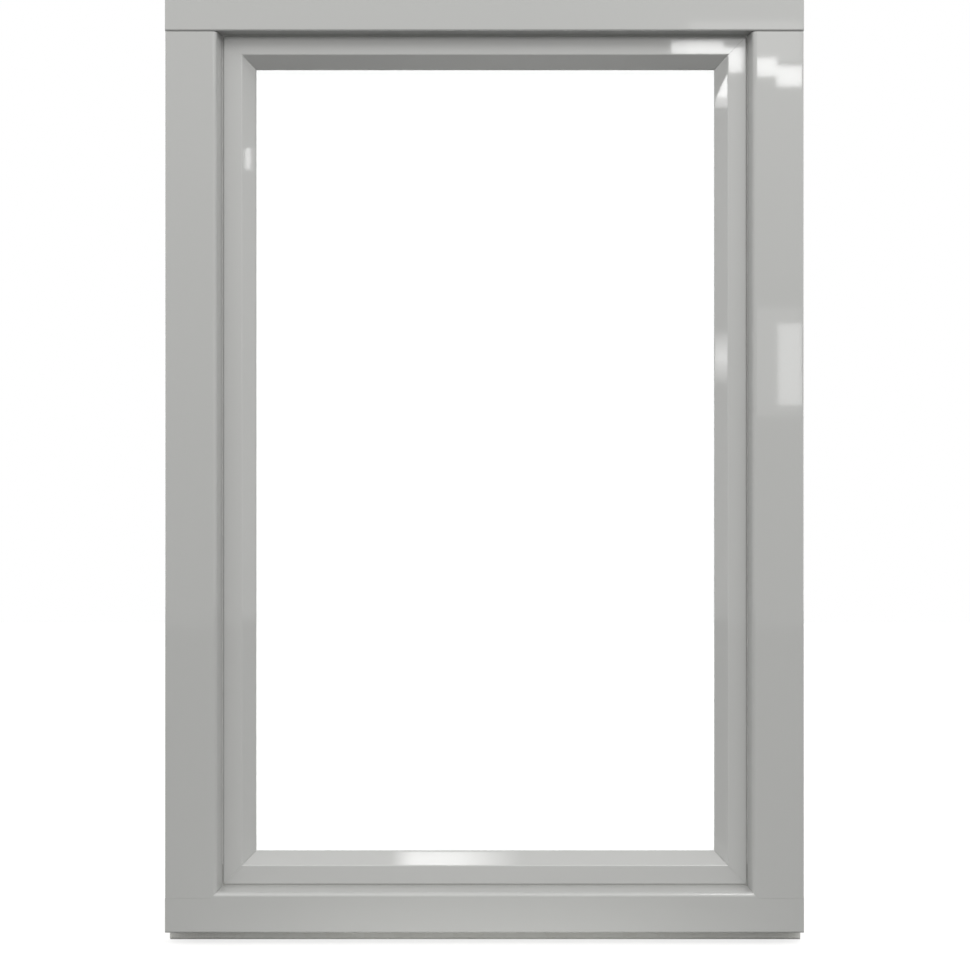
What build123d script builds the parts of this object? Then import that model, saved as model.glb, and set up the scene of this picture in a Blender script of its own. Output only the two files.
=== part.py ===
from build123d import *
from collections import namedtuple
import os

# A fixed wood-aluminium window: a timber frame with a triple glazed unit, clad outside in
# aluminium extrusions. Millimetres, Z up. The outside of the window faces -Y, and X runs
# to the right as seen from outside. The origin is the middle of the timber frame's underside.
# Depths are measured back, along +Y, from the front of the cladding.

# Timber frame
frame_width = 590.0
frame_height = 890.0
timber_depth = 106.0
jamb_border = 50.2
head_border = 45.0
sill_border = 52.0
timber_easing = 3.0
stop_width = 18.0
stop_thickness = 12.0

# Holes for the fixing screws, two through each jamb
fixing_hole_radius = 5.0
fixing_hole_end_distance = 150.0
fixing_hole_from_back = 13.0

# Aluminium cladding on the frame
cladding_depth = 24.0
cladding_wall = 1.5
cladding_flange = 8.0
fold_inside_radius = 0.2
lip_radius = 4.5
lip_fall = 3.0
flashing_gap = 12.0
head_joint_gap = 0.6
corner_joint_step = 8.0
corner_joint_gap = 0.1
end_cap_thickness = 2.0

# Clips that hold the cladding to the timber
clip_length = 30.0
clip_thickness = 2.5
clip_hook = 4.0
clip_clearance = 0.3
clip_end_distance = 90.0
jamb_clip_count = 3
rail_clip_count = 2

# Aluminium glazing bead outside the glass
bead_gap = 0.4
drain_gap = 1.0
bead_recess = 17.0
bead_edge_radius = 1.8
bead_flat = 17.8
bead_slope = 12.2
bead_tip_radius = 3.0
bead_nose = 7.8
bead_undercut = 2.5
bead_wall = 1.5
bead_flange = 6.0
bead_corner_radius = 4.0
mitre_gap = 0.1

# Triple glazed unit
pane_thickness = 4.0
cavity = 16.0
glass_clearance = 5.0
sealant_width = 4.0
spacer_width = 6.5
setting_block_length = 80.0
setting_block_end_distance = 60.0

# Seals and tape
tape_thickness = 4.0
tape_width = 12.0
seal_width = 6.0
seal_rounding = 2.0
outer_seal_recess = 0.5
joint_seal_recess = 1.0
inner_seal_proud = 0.5
inner_seal_thickness = 3.0

# Timber glazing bead inside the glass
inner_bead_width = 13.5
inner_bead_depth = 20.0
inner_bead_fall = 4.0
inner_bead_easing = 3.0

# Worked-out places
FRONT = -cladding_depth - timber_depth / 2
BACK_DEPTH = cladding_depth + timber_depth
GLASS_DEPTH = cladding_depth + stop_thickness + tape_thickness
UNIT_THICKNESS = 3 * pane_thickness + 2 * cavity
UNIT_BACK_DEPTH = GLASS_DEPTH + UNIT_THICKNESS
INNER_BEAD_DEPTH = UNIT_BACK_DEPTH + inner_seal_thickness
FIXING_DEPTH = BACK_DEPTH - fixing_hole_from_back
NOSE_DEPTH = bead_recess + bead_slope + bead_nose
BEAD_WIDTH = bead_flat + bead_slope
NOSE_WIDTH = BEAD_WIDTH - bead_undercut
CLADDING_FOLD = cladding_wall + fold_inside_radius
BEAD_FOLD = bead_wall + fold_inside_radius

Outline = namedtuple("Outline", "half_width bottom top")


def inset(outline, amount):
    """The same rectangle drawn in by an amount on all four sides."""
    return Outline(outline.half_width - amount, outline.bottom + amount, outline.top - amount)


WHOLE = Outline(frame_width / 2, 0, frame_height)
REBATE = Outline(frame_width / 2 - jamb_border, sill_border, frame_height - head_border)
BEAD_EDGE = Outline(REBATE.half_width - bead_gap, REBATE.bottom + drain_gap, REBATE.top - bead_gap)
NOSE_EDGE = inset(BEAD_EDGE, NOSE_WIDTH)
GLASS_EDGE = inset(REBATE, glass_clearance)
INNER_BEAD_TIP = inset(REBATE, inner_bead_width)
SIDES = ("top", "bottom", "left", "right")


def side_plane(outline, side):
    """A plane on one side of a rectangle: its X runs inwards and its Y runs back into the depth."""
    middle = (outline.bottom + outline.top) / 2
    planes = {
        "top": Plane((0, FRONT, outline.top), x_dir=(0, 0, -1), z_dir=(1, 0, 0)),
        "bottom": Plane((0, FRONT, outline.bottom), x_dir=(0, 0, 1), z_dir=(-1, 0, 0)),
        "left": Plane((-outline.half_width, FRONT, middle), x_dir=(1, 0, 0), z_dir=(0, 0, 1)),
        "right": Plane((outline.half_width, FRONT, middle), x_dir=(-1, 0, 0), z_dir=(0, 0, -1)),
    }
    return planes[side]


def half_length(outline, side):
    """Half the length of one side of a rectangle."""
    if side in ("top", "bottom"):
        return outline.half_width
    return (outline.top - outline.bottom) / 2


def slab(outline, near, far):
    """A flat plate over a rectangle, between two depths."""
    size = Box(2 * outline.half_width, far - near, outline.top - outline.bottom)
    return Pos(0, FRONT + (near + far) / 2, (outline.bottom + outline.top) / 2) * size


def ring(outline, width, near, far):
    """A flat frame of an even width inside a rectangle, between two depths."""
    return slab(outline, near, far) - slab(inset(outline, width), near, far)


def front_region(shape, near, far):
    """A prism over a shape drawn on the window's face, between two depths."""
    return extrude(Plane((0, FRONT + near, 0), x_dir=(1, 0, 0), z_dir=(0, -1, 0)) * shape, amount=near - far)


def mitred_bar(outline, side, section, gap):
    """A section run along one side of a rectangle and cut at 45 degrees at both ends."""
    half = half_length(outline, side)
    box = section.bounding_box()
    outer, inner = box.min.X, box.max.X
    ends = Polyline(
        (outer, outer - half + gap),
        (inner, inner - half + gap),
        (inner, half - inner - gap),
        (outer, half - outer - gap),
        close=True,
    )
    wedge = extrude(Plane.XZ * make_face(ends), amount=box.max.Y + 1, both=True)
    bar = extrude(section, amount=half, both=True)
    return side_plane(outline, side) * (bar & wedge)


# Timber frame: full height jambs, with the head and the sill between them. A stop runs
# round the outside of the rebate, mitred in the corners, and the glass is set against it.
def timber_section(border):
    """A rectangular timber with its two room-side edges eased."""
    face = Pos(border / 2, cladding_depth + timber_depth / 2) * Rectangle(border, timber_depth)
    room_corners = face.vertices().sort_by(Axis.Y)[-2:]
    return fillet(room_corners, timber_easing)


def ease_foot(member):
    """The same member with its outside edge eased along the underside."""
    front_edge = member.edges().filter_by(Axis.X).group_by(Axis.Z)[0].sort_by(Axis.Y)[0]
    return fillet(front_edge, timber_easing)


def glass_stop(side):
    """The stop on one side of the rebate."""
    middle = cladding_depth + stop_thickness / 2
    section = Pos(stop_width / 2, middle) * Rectangle(stop_width, stop_thickness)
    return mitred_bar(REBATE, side, section, 0)


def jamb(side):
    """A full height side member with its stop and two fixing holes."""
    post = side_plane(WHOLE, side) * extrude(timber_section(jamb_border), amount=frame_height / 2, both=True)
    post = post + glass_stop(side)
    direction = 1 if side == "right" else -1
    for height in (fixing_hole_end_distance, frame_height - fixing_hole_end_distance):
        drill = Rot(0, 90, 0) * Cylinder(fixing_hole_radius, 3 * jamb_border)
        post = post - Pos(direction * (frame_width - jamb_border) / 2, FRONT + FIXING_DEPTH, height) * drill
    return ease_foot(post)


def rail(side, border):
    """The head or the sill, which fits between the jambs."""
    bar = extrude(timber_section(border), amount=REBATE.half_width, both=True)
    return side_plane(WHOLE, side) * bar + glass_stop(side)


# Aluminium cladding: each piece is a folded channel with two flanges that lie against the
# timber. Jamb and sill pieces have a lip, a rounded edge that falls back steeply to the level
# of the beads. The head has a plain fold and runs over the jamb pieces. The jamb pieces meet
# the sill in a joint that is mitred through the lip and level beyond it.
def channel_path(face_width, lipped):
    """The outside line of a cladding channel, from one flange round to the other."""
    inner_edge = [(face_width, 0)]
    inner_radii = [CLADDING_FOLD]
    if lipped:
        inner_edge = [(face_width - lip_fall, 0), (face_width, bead_recess)]
        inner_radii = [lip_radius, CLADDING_FOLD]
    return FilletPolyline(
        (cladding_flange, cladding_depth),
        (0, cladding_depth),
        (0, 0),
        *inner_edge,
        (face_width, cladding_depth),
        (face_width - cladding_flange, cladding_depth),
        radius=[CLADDING_FOLD, CLADDING_FOLD, *inner_radii, CLADDING_FOLD],
    )


def channel(path, half):
    """A cladding channel of an even wall, run to both sides of its middle."""
    wall = offset(path, amount=cladding_wall, side=Side.LEFT, closed=True)
    return extrude(make_face(wall), amount=half, both=True)


def channel_plug(path, half):
    """The two plugs that close a channel's open ends."""
    filled = make_face([path, Line(path @ 1, path @ 0)])
    hollow = extrude(filled, amount=half, both=True) - channel(path, half)
    middle = extrude(filled, amount=half - end_cap_thickness, both=True)
    return hollow - middle


def joint_region(closing_height, lift):
    """The part of the face between a level line and the joint of sill and jamb cladding."""
    lip_x = REBATE.half_width
    step_x = lip_x + corner_joint_step
    lip_z = REBATE.bottom + lift
    step_z = lip_z - corner_joint_step
    edge_x = WHOLE.half_width
    corners = Polyline(
        (-edge_x, closing_height),
        (-edge_x, step_z),
        (-step_x, step_z),
        (-lip_x, lip_z),
        (lip_x, lip_z),
        (step_x, step_z),
        (edge_x, step_z),
        (edge_x, closing_height),
        close=True,
    )
    return front_region(make_face(corners), 0, cladding_depth)


def head_cladding():
    """The head channel and its two plugs."""
    path = channel_path(head_border, False)
    plane = side_plane(WHOLE, "top")
    return plane * channel(path, WHOLE.half_width), plane * channel_plug(path, WHOLE.half_width)


def sill_cladding():
    """The sill channel and its two plugs, cut to the joint with the jamb pieces."""
    below_joint = joint_region(0, 0)
    path = channel_path(sill_border - flashing_gap, True)
    plane = side_plane(Outline(WHOLE.half_width, flashing_gap, WHOLE.top), "bottom")
    sill = plane * channel(path, WHOLE.half_width)
    plugs = plane * channel_plug(path, WHOLE.half_width)
    return sill & below_joint, plugs & below_joint


def jamb_cladding(side):
    """A side channel between the head and the sill."""
    path = channel_path(jamb_border, True)
    above_joint = joint_region(REBATE.top - head_joint_gap, corner_joint_gap)
    return side_plane(WHOLE, side) * channel(path, frame_height / 2) & above_joint


def clip_section(face_width):
    """A clip across the slot of a channel, with hooks in front of both flanges."""
    slot_low = cladding_flange + clip_clearance
    slot_high = face_width - slot_low
    hook_back = cladding_depth - cladding_wall - clip_clearance
    hook_front = hook_back - clip_thickness
    corners = Polyline(
        (slot_low, cladding_depth),
        (slot_high, cladding_depth),
        (slot_high, hook_back),
        (slot_high + clip_hook, hook_back),
        (slot_high + clip_hook, hook_front),
        (slot_low - clip_hook, hook_front),
        (slot_low - clip_hook, hook_back),
        (slot_low, hook_back),
        close=True,
    )
    return make_face(corners)


def clip_row(outline, side, face_width, length, count):
    """Clips at even steps along one side."""
    clip = extrude(clip_section(face_width), amount=clip_length / 2, both=True)
    reach = length / 2 - clip_end_distance
    step = 2 * reach / (count - 1)
    plane = side_plane(outline, side)
    return [plane * Pos(0, 0, index * step - reach) * clip for index in range(count)]


# Glazing beads: mitred aluminium extrusions outside the glass and eased timber beads inside
# it. The outer ones have a flat face and a 45 degree slope down to a rounded tip, undercut to
# the glass, and stand off the sill for water to drain.
def outer_bead_section():
    """The aluminium bead's wall, from its foot on the stop round to the flange at the glass."""
    path = FilletPolyline(
        (bead_flange, cladding_depth),
        (0, cladding_depth),
        (0, bead_recess),
        (bead_flat, bead_recess),
        (BEAD_WIDTH, bead_recess + bead_slope),
        (NOSE_WIDTH, NOSE_DEPTH),
        (NOSE_WIDTH - bead_flange, NOSE_DEPTH),
        radius=[BEAD_FOLD, bead_edge_radius, BEAD_FOLD, bead_tip_radius, BEAD_FOLD],
    )
    return make_face(offset(path, amount=bead_wall, side=Side.LEFT, closed=True))


def inside_groove():
    """The region inside the groove, with the rounded corners of the ring of outer beads."""
    height = BEAD_EDGE.top - BEAD_EDGE.bottom
    plate = RectangleRounded(2 * BEAD_EDGE.half_width, height, bead_corner_radius)
    return front_region(Pos(0, BEAD_EDGE.bottom + height / 2) * plate, 0, GLASS_DEPTH)


def inner_bead_section():
    """The timber bead, higher against the frame than at the glass."""
    back = INNER_BEAD_DEPTH + inner_bead_depth
    corners = Polyline(
        (0, INNER_BEAD_DEPTH),
        (inner_bead_width, INNER_BEAD_DEPTH),
        (inner_bead_width, back - inner_bead_fall),
        (0, back),
        close=True,
    )
    face = make_face(corners)
    tip = face.vertices().sort_by(Axis.Y)[-2]
    return fillet(tip, inner_bead_easing)


# Triple glazed unit: three panes held apart by two spacer frames, with sealant round the
# spacers, standing on two setting blocks.
def pane(number):
    """One of the three panes, counted from outside."""
    near = GLASS_DEPTH + number * (pane_thickness + cavity)
    return slab(GLASS_EDGE, near, near + pane_thickness)


def cavity_ring(outline, width, number):
    """A frame that fills one of the two cavities from pane to pane."""
    near = GLASS_DEPTH + pane_thickness + number * (pane_thickness + cavity)
    return ring(outline, width, near, near + cavity)


def setting_blocks():
    """Two blocks under the glazed unit."""
    block = Box(setting_block_length, UNIT_THICKNESS, glass_clearance)
    reach = GLASS_EDGE.half_width - setting_block_end_distance - setting_block_length / 2
    depth = FRONT + GLASS_DEPTH + UNIT_THICKNESS / 2
    height = REBATE.bottom + glass_clearance / 2
    return [Pos(x, depth, height) * block for x in (-reach, reach)]


# Seals: a strip in the groove round the outer beads, tape between stop and glass, and a
# rubber seal on each side of the glass. The outer one lies just behind the bead's undercut
# and the inner one stands a little proud of its bead.
def glazing_seal(tip, near, far, shown):
    """A seal between beads and glass, rounded on its first or last face in depth."""
    seal = ring(inset(tip, -seal_width), seal_width, near, far)
    edges = seal.faces().sort_by(Axis.Y)[shown].inner_wires()[0].edges()
    return fillet(edges, seal_rounding)


def build_window():
    """Every piece of the window under its node's name."""
    nodes = {}
    for side in ("left", "right"):
        nodes[f"frame_jamb_{side}"] = jamb(side)
        nodes[f"jamb_cladding_{side}"] = jamb_cladding(side)
        nodes[f"cladding_clips_{side}"] = clip_row(WHOLE, side, jamb_border, frame_height, jamb_clip_count)
    nodes["frame_head"] = rail("top", head_border)
    nodes["frame_sill"] = ease_foot(rail("bottom", sill_border))
    nodes["head_cladding"], head_plugs = head_cladding()
    nodes["sill_cladding"], sill_plugs = sill_cladding()
    for name, plugs in (("head", head_plugs), ("sill", sill_plugs)):
        left, right = plugs.solids().sort_by(Axis.X)
        nodes[f"{name}_end_cap_left"] = left
        nodes[f"{name}_end_cap_right"] = right
    nodes["cladding_clips_head"] = clip_row(WHOLE, "top", head_border, frame_width, rail_clip_count)
    sill_face = Outline(WHOLE.half_width, flashing_gap, WHOLE.top)
    sill_width = sill_border - flashing_gap
    nodes["cladding_clips_sill"] = clip_row(sill_face, "bottom", sill_width, frame_width, rail_clip_count)
    for side in SIDES:
        outer_bead = mitred_bar(BEAD_EDGE, side, outer_bead_section(), mitre_gap)
        nodes[f"outer_bead_{side}"] = outer_bead & inside_groove()
        nodes[f"inner_bead_{side}"] = mitred_bar(REBATE, side, inner_bead_section(), mitre_gap)
    for number, name in enumerate(("outer_pane", "middle_pane", "inner_pane")):
        nodes[name] = pane(number)
    spacer_edge = inset(GLASS_EDGE, sealant_width)
    nodes["outer_spacer"] = cavity_ring(spacer_edge, spacer_width, 0)
    nodes["inner_spacer"] = cavity_ring(spacer_edge, spacer_width, 1)
    nodes["edge_sealant"] = [cavity_ring(GLASS_EDGE, sealant_width, number) for number in range(2)]
    nodes["setting_blocks"] = setting_blocks()
    nodes["glazing_tape"] = ring(GLASS_EDGE, tape_width, GLASS_DEPTH - tape_thickness, GLASS_DEPTH)
    outer_tip = inset(NOSE_EDGE, -outer_seal_recess)
    inner_tip = inset(INNER_BEAD_TIP, inner_seal_proud)
    nodes["outer_glazing_seal"] = glazing_seal(outer_tip, NOSE_DEPTH, GLASS_DEPTH, 0)
    nodes["inner_glazing_seal"] = glazing_seal(inner_tip, UNIT_BACK_DEPTH, INNER_BEAD_DEPTH, -1)
    nodes["joint_seal"] = slab(REBATE, bead_recess + joint_seal_recess, cladding_depth) - inside_groove()
    return nodes


os.makedirs("parts", exist_ok=True)
for name, shape in build_window().items():
    if isinstance(shape, list):
        shape = Compound(children=shape)
    export_step(shape, f"parts/{name}.step")
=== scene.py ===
import math

import bmesh
import bpy
from mathutils import Matrix, Vector


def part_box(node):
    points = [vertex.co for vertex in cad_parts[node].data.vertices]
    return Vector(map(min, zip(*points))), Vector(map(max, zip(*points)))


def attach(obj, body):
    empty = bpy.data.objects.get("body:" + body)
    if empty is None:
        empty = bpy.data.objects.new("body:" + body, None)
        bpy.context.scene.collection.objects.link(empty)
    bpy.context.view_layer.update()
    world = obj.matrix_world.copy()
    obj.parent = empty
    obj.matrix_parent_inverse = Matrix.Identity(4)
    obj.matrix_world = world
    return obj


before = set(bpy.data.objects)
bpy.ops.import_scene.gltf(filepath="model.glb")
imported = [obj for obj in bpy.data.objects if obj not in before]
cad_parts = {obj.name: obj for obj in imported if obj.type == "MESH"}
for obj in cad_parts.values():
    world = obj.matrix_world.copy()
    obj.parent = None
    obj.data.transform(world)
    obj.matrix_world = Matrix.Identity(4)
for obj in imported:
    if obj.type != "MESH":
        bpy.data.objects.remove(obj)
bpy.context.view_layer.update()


# Timber frame: a head and a sill set between two full height jambs, planed from pine with
# eased edges, glued and screwed at the corners, and spray painted white on every side. The
# grain and the growth rings still show faintly through the paint.
class Wire:
    """A shader socket that sums can be written with: each operator adds its Math node."""

    def __init__(self, tree, socket=None):
        self.tree = tree
        self.socket = socket

    def node(self, kind, inputs, output=0, **settings):
        """Adds any node with its settings and sockets, and returns one output."""
        made = self.tree.nodes.new(kind)
        for name, value in settings.items():
            setattr(made, name, value)
        for name, value in inputs.items():
            if isinstance(value, Wire):
                self.tree.links.new(value.socket, made.inputs[name])
            else:
                made.inputs[name].default_value = value
        return Wire(self.tree, made.outputs[output])

    def math(self, operation, *values):
        return self.node("ShaderNodeMath", dict(enumerate(values)), operation=operation)

    def at_least(self, other):
        return self.math("MAXIMUM", self, other)

    def at_most(self, other):
        return self.math("MINIMUM", self, other)

    def blend(self, first, second):
        """A colour between two others, with this wire as the share of the second."""
        colours = {"Factor": self, 6: (*first, 1.0), 7: (*second, 1.0)}
        return self.node("ShaderNodeMix", colours, output=2, data_type="RGBA")

    def __add__(self, other):
        return self.math("ADD", self, other)

    def __sub__(self, other):
        return self.math("SUBTRACT", self, other)

    def __rsub__(self, other):
        return self.math("SUBTRACT", other, self)

    def __mul__(self, other):
        return self.math("MULTIPLY", self, other)

    __radd__ = __add__
    __rmul__ = __mul__


class Finish:
    """A material made of one Principled shader, and the wire that its maths starts from."""

    def __init__(self, name, **values):
        self.material = bpy.data.materials.new(name)
        self.material.use_nodes = True
        self.tree = self.material.node_tree
        self.shader = self.tree.nodes["Principled BSDF"]
        self.wire = Wire(self.tree)
        self.place = self.wire.node("ShaderNodeTexCoord", {}, output="Object")
        for socket, value in values.items():
            self.shader.inputs[socket.replace("_", " ")].default_value = value

    def turned(self, stretch, turn=(0.0, 0.0, 0.0), shift=(0.0, 0.0, 0.0)):
        """The object's own coordinates, turned, moved and stretched."""
        values = {"Vector": self.place, "Location": shift, "Rotation": turn, "Scale": stretch}
        return self.wire.node("ShaderNodeMapping", values)

    def noise(self, vector, scale, detail=2.0):
        """Soft noise from 0 to 1."""
        values = {"Vector": vector, "Scale": scale, "Detail": detail}
        return self.wire.node("ShaderNodeTexNoise", values)

    def feed(self, socket, wire):
        self.tree.links.new(wire.socket, self.shader.inputs[socket])

    def relief(self, height, depth):
        """Raises the surface by a height from 0 to 1, times a depth in metres."""
        values = {"Height": height, "Strength": 1.0, "Distance": depth}
        self.feed("Normal", self.wire.node("ShaderNodeBump", values))

    def put_on(self, *names):
        """Gives this finish to CAD nodes by name."""
        for name in names:
            for slot in bpy.data.objects[name].material_slots:
                slot.material = self.material


paint_white = (0.78, 0.78, 0.755)
paint_over_late_wood = (0.73, 0.725, 0.69)
paint_relief = 0.00005
ring_spacing = 0.0028
ring_wander = 9.0
ring_stretch = 0.06
fibre_stretch = 0.03
fibre_scale = 900.0
spray_scale = 420.0
paint_patch_scale = 6.0


def paint_timber(name, upright, heart):
    """White paint over pine whose grain runs along the piece, with the tree's heart beside it."""
    finish = Finish("white_paint_on_" + name, IOR=1.5)
    turn = (0.0, 0.0, 0.0) if upright else (0.0, math.pi / 2, 0.0)
    ring_settings = {
        "Vector": finish.turned((1.0, 1.0, ring_stretch), turn, heart),
        "Scale": math.tau / (20 * ring_spacing),
        "Distortion": ring_wander,
        "Detail": 3.0,
        "Detail Scale": 0.35,
    }
    rings = finish.wire.node(
        "ShaderNodeTexWave", ring_settings, output="Fac",
        wave_type="RINGS", rings_direction="Z", wave_profile="SAW",
    )
    fibre = finish.noise(finish.turned((1.0, 1.0, fibre_stretch), turn), fibre_scale, detail=3.0)
    spray = finish.noise(finish.place, spray_scale)
    patches = finish.noise(finish.place, paint_patch_scale)
    late_wood = rings * rings * 0.55 + patches * 0.3
    finish.feed("Base Color", late_wood.blend(paint_white, paint_over_late_wood))
    finish.feed("Roughness", 0.33 + patches * 0.06 + fibre * 0.06)
    finish.relief(rings * 0.35 + fibre * 0.4 + spray * 0.35, paint_relief)
    finish.put_on(name)


frame_hearts = {
    "frame_head": (0.06, 0.09, 0.0),
    "frame_sill": (-0.05, 0.11, 0.3),
    "frame_jamb_left": (0.35, 0.08, 0.0),
    "frame_jamb_right": (-0.22, -0.1, 0.5),
}
for name, heart in frame_hearts.items():
    paint_timber(name, name.startswith("frame_jamb"), heart)


# Glazed unit: three panes of clear float glass with polished edges, held apart by two grey
# spacer frames and sealed all round with black sealant. It stands on two hard plastic blocks.
glass_tint = (0.997, 1.0, 0.998, 1.0)
spacer_greys = (0.2, 0.2, 0.205), (0.26, 0.26, 0.265)
sealant_blacks = (0.012, 0.012, 0.012), (0.03, 0.03, 0.032)
block_blacks = (0.02, 0.02, 0.022), (0.035, 0.035, 0.037)


def grained_finish(name, roughness, colours, grain_scale, grain_depth, detail=2.0):
    """A plain finish between two near colours, whose fine grain also shapes the surface."""
    finish = Finish(name, Roughness=roughness)
    grain = finish.noise(finish.place, grain_scale, detail)
    finish.feed("Base Color", grain.blend(*colours))
    finish.relief(grain, grain_depth)
    return finish


glass = Finish(
    "clear_float_glass", Base_Color=glass_tint, Roughness=0.0, IOR=1.5, Transmission_Weight=1.0
)
glass.put_on("outer_pane", "middle_pane", "inner_pane")

spacer = grained_finish(
    "grey_spacer_bar", 0.5, spacer_greys, grain_scale=1400.0, grain_depth=0.00003
)
spacer.put_on("outer_spacer", "inner_spacer")

sealant = grained_finish(
    "black_edge_sealant", 0.55, sealant_blacks, grain_scale=260.0, grain_depth=0.0002, detail=4.0
)
sealant.put_on("edge_sealant")

block = grained_finish(
    "black_hard_plastic", 0.42, block_blacks, grain_scale=900.0, grain_depth=0.00004
)
block.put_on("setting_blocks")


# Inner glazing beads: mitred pine beads, painted with the frame, that press the glazed unit
# out against its stop from the room side.
bead_hearts = {
    "inner_bead_top": (0.02, 0.05, 0.1),
    "inner_bead_bottom": (-0.03, 0.04, 0.7),
    "inner_bead_left": (0.31, 0.02, 0.2),
    "inner_bead_right": (-0.19, 0.06, 0.9),
}
for name, heart in bead_hearts.items():
    paint_timber(name, name.endswith(("left", "right")), heart)


# Bead pins: thin steel pins driven through the room face of each bead into the frame, their
# heads punched in, filled and touched up, so that a small round spot is left over each one.
pin_radius = 0.0012
pin_length = 0.0016
pin_corners = 28
pin_proud = 0.0001
pin_dish = 0.00012
pin_rim = 0.00035
pin_edge = 0.0001
pin_end_distance = 0.05
pins_in_upright_bead = 5
pins_in_level_bead = 3
bead_fall = 0.004
filler_whites = (0.76, 0.76, 0.74), (0.7, 0.695, 0.67)

bpy.ops.object.select_all(action="DESELECT")
bpy.ops.mesh.primitive_cylinder_add(vertices=pin_corners, radius=pin_radius, depth=pin_length)
pin = bpy.context.object
bpy.ops.object.mode_set(mode="EDIT")
pin_mesh = bmesh.from_edit_mesh(pin.data)
for face in pin_mesh.faces:
    looks_up = face.normal.z > 0.9
    face.select_set(looks_up)
bmesh.update_edit_mesh(pin.data)
bpy.ops.mesh.inset(thickness=pin_rim)
bpy.ops.transform.translate(value=(0.0, 0.0, -pin_dish))
bpy.ops.object.mode_set(mode="OBJECT")
rounding = pin.modifiers.new("rounding", "BEVEL")
rounding.width = pin_edge
rounding.segments = 3
bpy.ops.object.modifier_apply(modifier=rounding.name)
bpy.ops.object.shade_smooth_by_angle(angle=math.radians(40))
pin_sunk = Matrix.Translation((0.0, 0.0, pin_proud - pin_length / 2))

filler = grained_finish(
    "white_filler_on_pins", 0.5, filler_whites, grain_scale=1800.0, grain_depth=0.00003
)

left_bead_low, left_bead_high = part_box("inner_bead_left")
bead_slope = math.atan2(bead_fall, left_bead_high.x - left_bead_low.x)
into_opening = {"left": (1, 0), "right": (-1, 0), "top": (0, -1), "bottom": (0, 1)}
for side, (across, up) in into_opening.items():
    low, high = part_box("inner_bead_" + side)
    middle = (low + high) / 2
    pin_y = high.y - bead_fall / 2
    start, end = (low.z, high.z) if across else (low.x, high.x)
    count = pins_in_upright_bead if across else pins_in_level_bead
    step = (end - start - 2 * pin_end_distance) / (count - 1)
    fall = math.sin(bead_slope)
    outwards = Vector((across * fall, math.cos(bead_slope), up * fall))
    turn = outwards.to_track_quat("Z", "Y").to_matrix().to_4x4()
    bpy.ops.object.select_all(action="DESELECT")
    for index in range(count):
        along = start + pin_end_distance + index * step
        place = (middle.x, pin_y, along) if across else (along, pin_y, middle.z)
        copy = bpy.data.objects.new(f"pins_in_bead_{side}", pin.data.copy())
        copy.data.transform(Matrix.Translation(place) @ turn @ pin_sunk)
        bpy.context.scene.collection.objects.link(copy)
        copy.select_set(True)
        bpy.context.view_layer.objects.active = copy
    bpy.ops.object.join()
    pins = bpy.context.object
    pins.name = f"pins_in_bead_{side}"
    pins.data.materials.clear()
    pins.data.materials.append(filler.material)
    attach(pins, "root")
bpy.data.objects.remove(pin)


# Seals: rubber lips on both sides of the glass and in the groove round the outer beads, pushed
# into their grooves, and a foam tape between the glass and its timber stop. Above its foot, the
# joint seal is painted paler than the seal's own grey, as painted light in its shaded groove.
seal_grey = (0.15, 0.15, 0.148)
seal_bloomed = (0.2, 0.2, 0.197)
light_seal_grey = (0.4, 0.4, 0.385)
light_seal_bloomed = (0.44, 0.44, 0.425)
# Painted light: a paler grey than the seal's own, painted on the joint seal above its foot to
# lighten its shaded groove.
joint_seal_painted_light = (0.66, 0.66, 0.645)
seal_foot_height = 0.02
seal_relief = 0.00003
tape_greys = (0.12, 0.12, 0.12), (0.2, 0.2, 0.2)
tape_cell_scale = 1600.0
tape_relief = 0.0002

rubber = Finish("grey_seal_rubber", IOR=1.45)
rubber_bloom = rubber.noise(rubber.place, 70.0, detail=3.0)
rubber.feed("Base Color", rubber_bloom.blend(seal_grey, seal_bloomed))
rubber.feed("Roughness", 0.55 + rubber_bloom * 0.15)
rubber.relief(rubber.noise(rubber.place, 1500.0), seal_relief)
rubber.put_on("inner_glazing_seal")

light_rubber = Finish("light_grey_seal_rubber", Roughness=0.6, IOR=1.45)
light_bloom = light_rubber.noise(light_rubber.place, 90.0, detail=3.0)
light_rubber.feed("Base Color", light_bloom.blend(light_seal_grey, light_seal_bloomed))
light_rubber.relief(light_rubber.noise(light_rubber.place, 1300.0), seal_relief)
light_rubber.put_on("outer_glazing_seal")

joint_rubber = Finish("light_grey_joint_rubber", Roughness=0.6, IOR=1.45)
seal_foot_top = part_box("joint_seal")[0].z + seal_foot_height
height = joint_rubber.wire.node(
    "ShaderNodeSeparateXYZ", {"Vector": joint_rubber.place}, output="Z"
)
# Painted light: above its foot the joint seal takes the paler painted grey, and the foot keeps the
# seal's own grey.
above_seal_foot = height.math("GREATER_THAN", height, seal_foot_top)
joint_rubber.feed("Base Color", above_seal_foot.blend(light_seal_grey, joint_seal_painted_light))
joint_rubber.relief(joint_rubber.noise(joint_rubber.place, 1300.0), seal_relief)
joint_rubber.put_on("joint_seal")

foam = Finish("grey_foam_tape", Roughness=0.85)
foam_cells = foam.wire.node(
    "ShaderNodeTexVoronoi", {"Vector": foam.place, "Scale": tape_cell_scale}, output="Distance"
)
foam.feed("Base Color", foam_cells.blend(*tape_greys))
foam.relief(foam_cells, tape_relief)
foam.put_on("glazing_tape")


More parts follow.
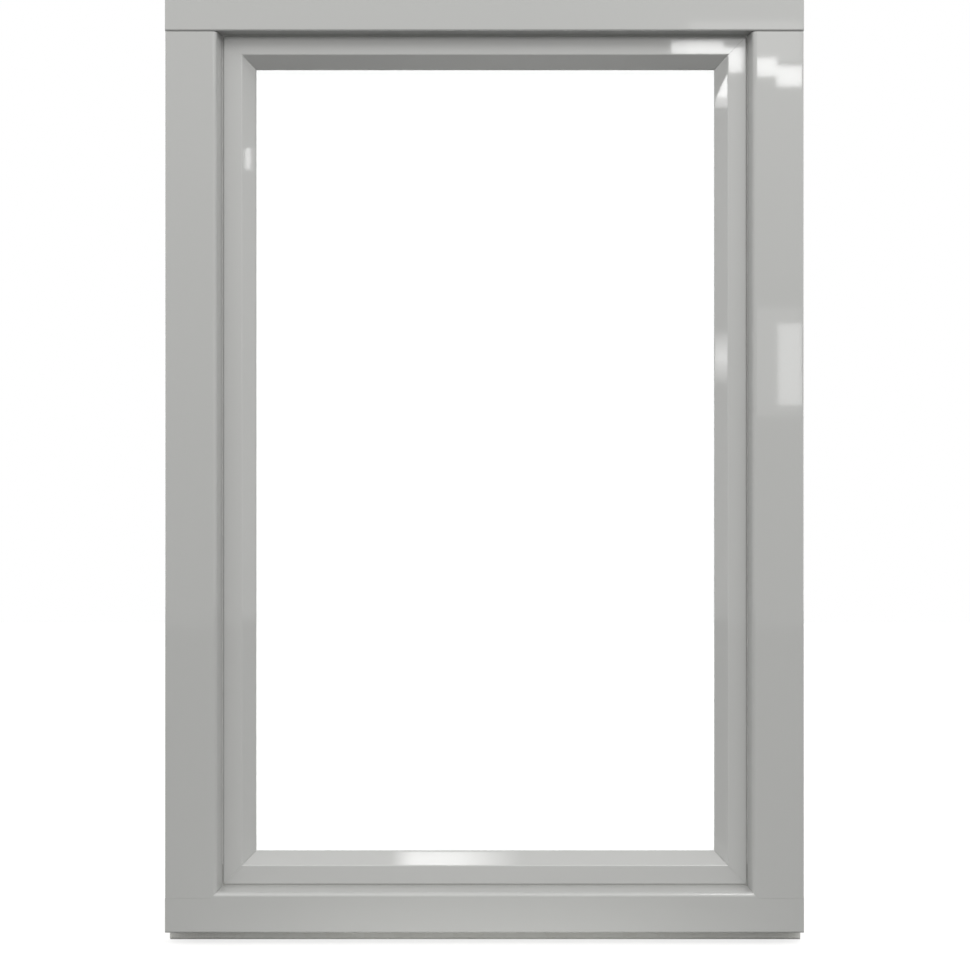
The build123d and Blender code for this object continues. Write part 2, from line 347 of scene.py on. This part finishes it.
# Outer glazing beads: aluminium extrusions with a flat face and a slope down to the glass,
# sawn at 45 degrees, powder coated light grey and clipped on. Die lines from the extrusion
# press run along each piece, under a glossy coat with a fine orange peel.
# Painted light: the beads' grey is painted a little lighter than the cladding's, though the coat
# is the same, to stand in for light in their recess.
bead_greys_painted_lighter = (0.488, 0.49, 0.483), (0.473, 0.475, 0.468)
coat_roughness = 0.035
coat_relief = 0.00003
die_line_stretch = 0.012
die_line_scale = 700.0
peel_scale = 260.0
wave_scale = 22.0
coat_patch_scale = 5.0


def coat_aluminium(name, colours, upright):
    """Glossy light grey powder coat over an extrusion that runs up or across."""
    finish = Finish(name, IOR=1.5, Coat_Weight=1.0, Coat_Roughness=coat_roughness, Coat_IOR=1.5)
    stretch = (1.0, 1.0, die_line_stretch) if upright else (die_line_stretch, 1.0, 1.0)
    die_lines = finish.noise(finish.turned(stretch), die_line_scale, detail=3.0)
    peel = finish.noise(finish.place, peel_scale, detail=1.0)
    waves = finish.noise(finish.place, wave_scale, detail=1.0)
    patches = finish.noise(finish.place, coat_patch_scale)
    finish.feed("Base Color", patches.blend(*colours))
    finish.feed("Roughness", 0.3 + patches * 0.08)
    finish.relief(die_lines * 0.25 + peel * 0.35 + waves * 3.0, coat_relief)
    return finish


upright_bead_coat = coat_aluminium("coat_on_upright_beads", bead_greys_painted_lighter, upright=True)
upright_bead_coat.put_on("outer_bead_left", "outer_bead_right")
level_bead_coat = coat_aluminium("coat_on_level_beads", bead_greys_painted_lighter, upright=False)
level_bead_coat.put_on("outer_bead_top", "outer_bead_bottom")


# Frame cladding: folded looking aluminium channels in the same coat, with the head running
# over the jamb pieces, held to the timber by black plastic clips and closed with grey plugs.
cladding_greys = (0.45, 0.4525, 0.445), (0.435, 0.4375, 0.43)
plug_greys = (0.3, 0.302, 0.29), (0.34, 0.342, 0.33)

jamb_coat = coat_aluminium("coat_on_jamb_cladding", cladding_greys, upright=True)
jamb_coat.put_on("jamb_cladding_left", "jamb_cladding_right")
level_coat = coat_aluminium("coat_on_head_and_sill_cladding", cladding_greys, upright=False)
level_coat.put_on("head_cladding", "sill_cladding")

plug = grained_finish(
    "grey_moulded_plug", 0.45, plug_greys, grain_scale=1100.0, grain_depth=0.00005
)
for edge in ("head", "sill"):
    plug.put_on(f"{edge}_end_cap_left", f"{edge}_end_cap_right")

for edge in ("head", "sill", "left", "right"):
    block.put_on(f"cladding_clips_{edge}")


# Floor: a plain pale floor that the camera sees as white, with the window's soft shadow on it.
# What it throws back on the window comes from pale paper close to the frame, and falls off
# further out.
floor_reach = 8.0
floor_pale = (0.8, 0.8, 0.79)
floor_beyond = (0.2, 0.2, 0.2)
paper_reach = 0.13
paper_fade = 0.2
floor_white_share = 0.5
floor_white_level = 1.44
floor_glass_loss = 0.5

bpy.ops.object.select_all(action="DESELECT")
bpy.ops.mesh.primitive_plane_add(size=floor_reach, location=(0.0, 0.0, 0.0))
floor = bpy.context.object
floor.name = "floor"

floor_finish = bpy.data.materials.new("pale_floor")
floor_finish.use_nodes = True
floor_tree = floor_finish.node_tree
floor_tree.nodes.clear()
floor_wire = Wire(floor_tree)


def seen_through_glass(wire):
    """1 for what is seen through glass."""
    return wire.node("ShaderNodeLightPath", {}, output="Is Transmission Ray")


def seen_directly(wire):
    """1 for what the camera sees, straight or through glass."""
    camera_ray = wire.node("ShaderNodeLightPath", {}, output="Is Camera Ray")
    return camera_ray.at_least(seen_through_glass(wire))


floor_place = floor_wire.node("ShaderNodeTexCoord", {}, output="Object")
from_middle = floor_wire.node(
    "ShaderNodeVectorMath", {0: floor_place}, output="Value", operation="LENGTH"
)
past_paper = ((from_middle - paper_reach) * (1 / paper_fade)).at_least(0.0).at_most(1.0)
floor_shade = past_paper.blend(floor_pale, floor_beyond)
floor_to_object = floor_wire.node("ShaderNodeBsdfDiffuse", {"Color": floor_shade})

floor_level = floor_white_level + seen_through_glass(floor_wire) * floor_glass_loss
floor_plain = floor_wire.node("ShaderNodeBsdfDiffuse", {"Color": (*floor_pale, 1.0)})
floor_bright = floor_wire.node(
    "ShaderNodeEmission", {"Color": (1.0, 1.0, 1.0, 1.0), "Strength": floor_level}
)
floor_to_camera = floor_wire.node(
    "ShaderNodeMixShader", {0: floor_white_share, 1: floor_plain, 2: floor_bright}
)
floor_mix = floor_wire.node(
    "ShaderNodeMixShader", {0: seen_directly(floor_wire), 1: floor_to_object, 2: floor_to_camera}
)
floor_output = floor_tree.nodes.new("ShaderNodeOutputMaterial")
floor_tree.links.new(floor_mix.socket, floor_output.inputs["Surface"])
floor.data.materials.append(floor_finish)


# World: white to the camera, and for everything else the soft walls of a light tent, each
# with its own brightness. The front wall brightens upwards, and the back one downwards.
wall_brightness = {"front": 0.44, "front_high": 2.6, "back_low": 1.9, "left": 0.91, "right": 1.0}
wall_colour = (1.0, 1.0, 0.985, 1.0)
background_glass_loss = 0.25

world = bpy.data.worlds.new("soft_studio")
bpy.context.scene.world = world
world.use_nodes = True
world_tree = world.node_tree
world_tree.nodes.clear()
world_wire = Wire(world_tree)
direction = world_wire.node("ShaderNodeTexCoord", {}, output="Generated")
rightwards, backwards, upwards = (
    world_wire.node("ShaderNodeSeparateXYZ", {"Vector": direction}, output=axis) for axis in "XYZ"
)
high_share = upwards.at_least(0.0)
front_level = high_share * wall_brightness["front_high"] + wall_brightness["front"]
back_level = (1.0 - high_share) * wall_brightness["back_low"]
wall_level = (
    (0.0 - backwards).at_least(0.0) * front_level
    + backwards.at_least(0.0) * back_level
    + (0.0 - rightwards).at_least(0.0) * wall_brightness["left"]
    + rightwards.at_least(0.0) * wall_brightness["right"]
)
walls = world_wire.node("ShaderNodeBackground", {"Color": wall_colour, "Strength": wall_level})
white_level = 1.0 + seen_through_glass(world_wire) * background_glass_loss
white = world_wire.node(
    "ShaderNodeBackground", {"Color": (1.0, 1.0, 1.0, 1.0), "Strength": white_level}
)
world_mix = world_wire.node(
    "ShaderNodeMixShader", {0: seen_directly(world_wire), 1: walls, 2: white}
)
world_output = world_tree.nodes.new("ShaderNodeOutputWorld")
world_tree.links.new(world_mix.socket, world_output.inputs["Surface"])


# Camera: level and square to the outside of the window, a little right of its middle and below
# the middle of its height. Its shift brings the window back to the middle of the picture.
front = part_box("head_cladding")[0].y
camera_distance = 1.75
camera_height = 0.4256
camera_side = 0.045
picture_middle = 0.0005
view_width = 0.8955

camera = bpy.data.objects.new("camera", bpy.data.cameras.new("camera"))
bpy.context.scene.collection.objects.link(camera)
camera.location = (camera_side, front - camera_distance, camera_height)
camera.rotation_euler = (math.pi / 2, 0.0, 0.0)
camera.data.sensor_width = 36.0
camera.data.lens = camera.data.sensor_width * camera_distance / view_width
camera.data.shift_x = (picture_middle - camera_side) / view_width
camera.data.clip_start = 0.02
bpy.context.scene.camera = camera


# Lamps: a large soft box high on the right, and small ones whose mirror images give the bright
# patches on the glossy coat. Those that the front faces mirror stand beside the camera, and
# each slope mirrors lamps on the far side of the window, or above it.
def soft_box(name, place, target, width, height, brightness, fades=(), fades_along="X"):
    """A rectangular lamp that faces a point.

    Its light can fade over a share of its width at each end, or of its height, along "Y".
    """
    lamp = bpy.data.lights.new(name, "AREA")
    lamp.shape = "RECTANGLE"
    lamp.size = width
    lamp.size_y = height
    lamp.energy = brightness * math.pi * width * height
    if fades:
        lamp.use_nodes = True
        wire = Wire(lamp.node_tree)
        spot = wire.node("ShaderNodeNewGeometry", {}, output="Parametric")
        along = wire.node("ShaderNodeSeparateXYZ", {"Vector": spot}, output=fades_along)
        fade_out = (1.0 - along) * (1 / fades[1])
        level = (along * (1 / fades[0])).at_most(fade_out).at_most(1.0)
        emission = lamp.node_tree.nodes["Emission"]
        lamp.node_tree.links.new(level.socket, emission.inputs["Strength"])
    box = bpy.data.objects.new(name, lamp)
    bpy.context.scene.collection.objects.link(box)
    box.location = place
    box.rotation_euler = (Vector(target) - Vector(place)).to_track_quat("-Z", "Y").to_euler()


def mirrored_box(name, left, right, low, high, brightness, behind=0.0):
    """A lamp beside the camera, flat to it, that spans these sides and heights."""
    place = ((left + right) / 2, front - camera_distance - behind, (low + high) / 2)
    target = (place[0], front, place[2])
    soft_box(name, place, target, right - left, high - low, brightness)


soft_box(
    "key_lamp", (0.7, front - camera_distance, 2.1), (0.0, front, 0.45),
    width=0.6, height=0.52, brightness=8.15,
)

patch_brightness = 10.5
patches_at_top = {
    "patch_on_top_bead": (0.303, 0.400, 1.2286, 1.2525),
    "patch_on_right_bead": (0.400, 0.436, 1.195, 1.2410),
    "patch_on_jamb": (0.455, 0.495, 1.1804, 1.2138),
    "patch_on_jamb_edge": (0.495, 0.543, 1.162, 1.199),
}
for name, span in patches_at_top.items():
    mirrored_box(name, *span, brightness=patch_brightness)
mirrored_box("low_patch_on_jamb", 0.497, 0.543, 0.5734, 0.7236, brightness=3.9)

# A lamp hides what is in its own plane, so the hazes stand behind the patches.
haze_behind = 0.02
mirrored_box("haze_by_head", 0.334, 0.543, 1.2138, 1.2876, brightness=1.3, behind=haze_behind)
mirrored_box("haze_by_low_patch", 0.447, 0.543, 0.5537, 0.7557, brightness=0.9, behind=haze_behind)

soft_box(
    "left_lamp", (-1.284, -0.198, 1.131), (0.22, -0.06, 0.8),
    width=0.05, height=0.068, brightness=12.0,
)
soft_box(
    "left_lamp_below", (-1.284, -0.198, 1.088), (0.22, -0.06, 0.78),
    width=0.05, height=0.018, brightness=5.0,
)
soft_box(
    "left_lamp_low", (-1.284, -0.205, 0.647), (0.22, -0.06, 0.55),
    width=0.03, height=0.1, brightness=6.5, fades=(0.5, 0.5), fades_along="Y",
)
soft_box(
    "right_lamp", (1.284, -0.2815, 0.99), (-0.2257, -0.055, 0.73),
    width=0.009, height=0.036, brightness=8.0,
)
soft_box(
    "top_lamp", (-0.114, -0.476, 2.2), (-0.114, -0.06, 0.08),
    width=0.268, height=0.04, brightness=8.5, fades=(0.17, 0.5),
)

bpy.context.scene.view_settings.view_transform = "Standard"
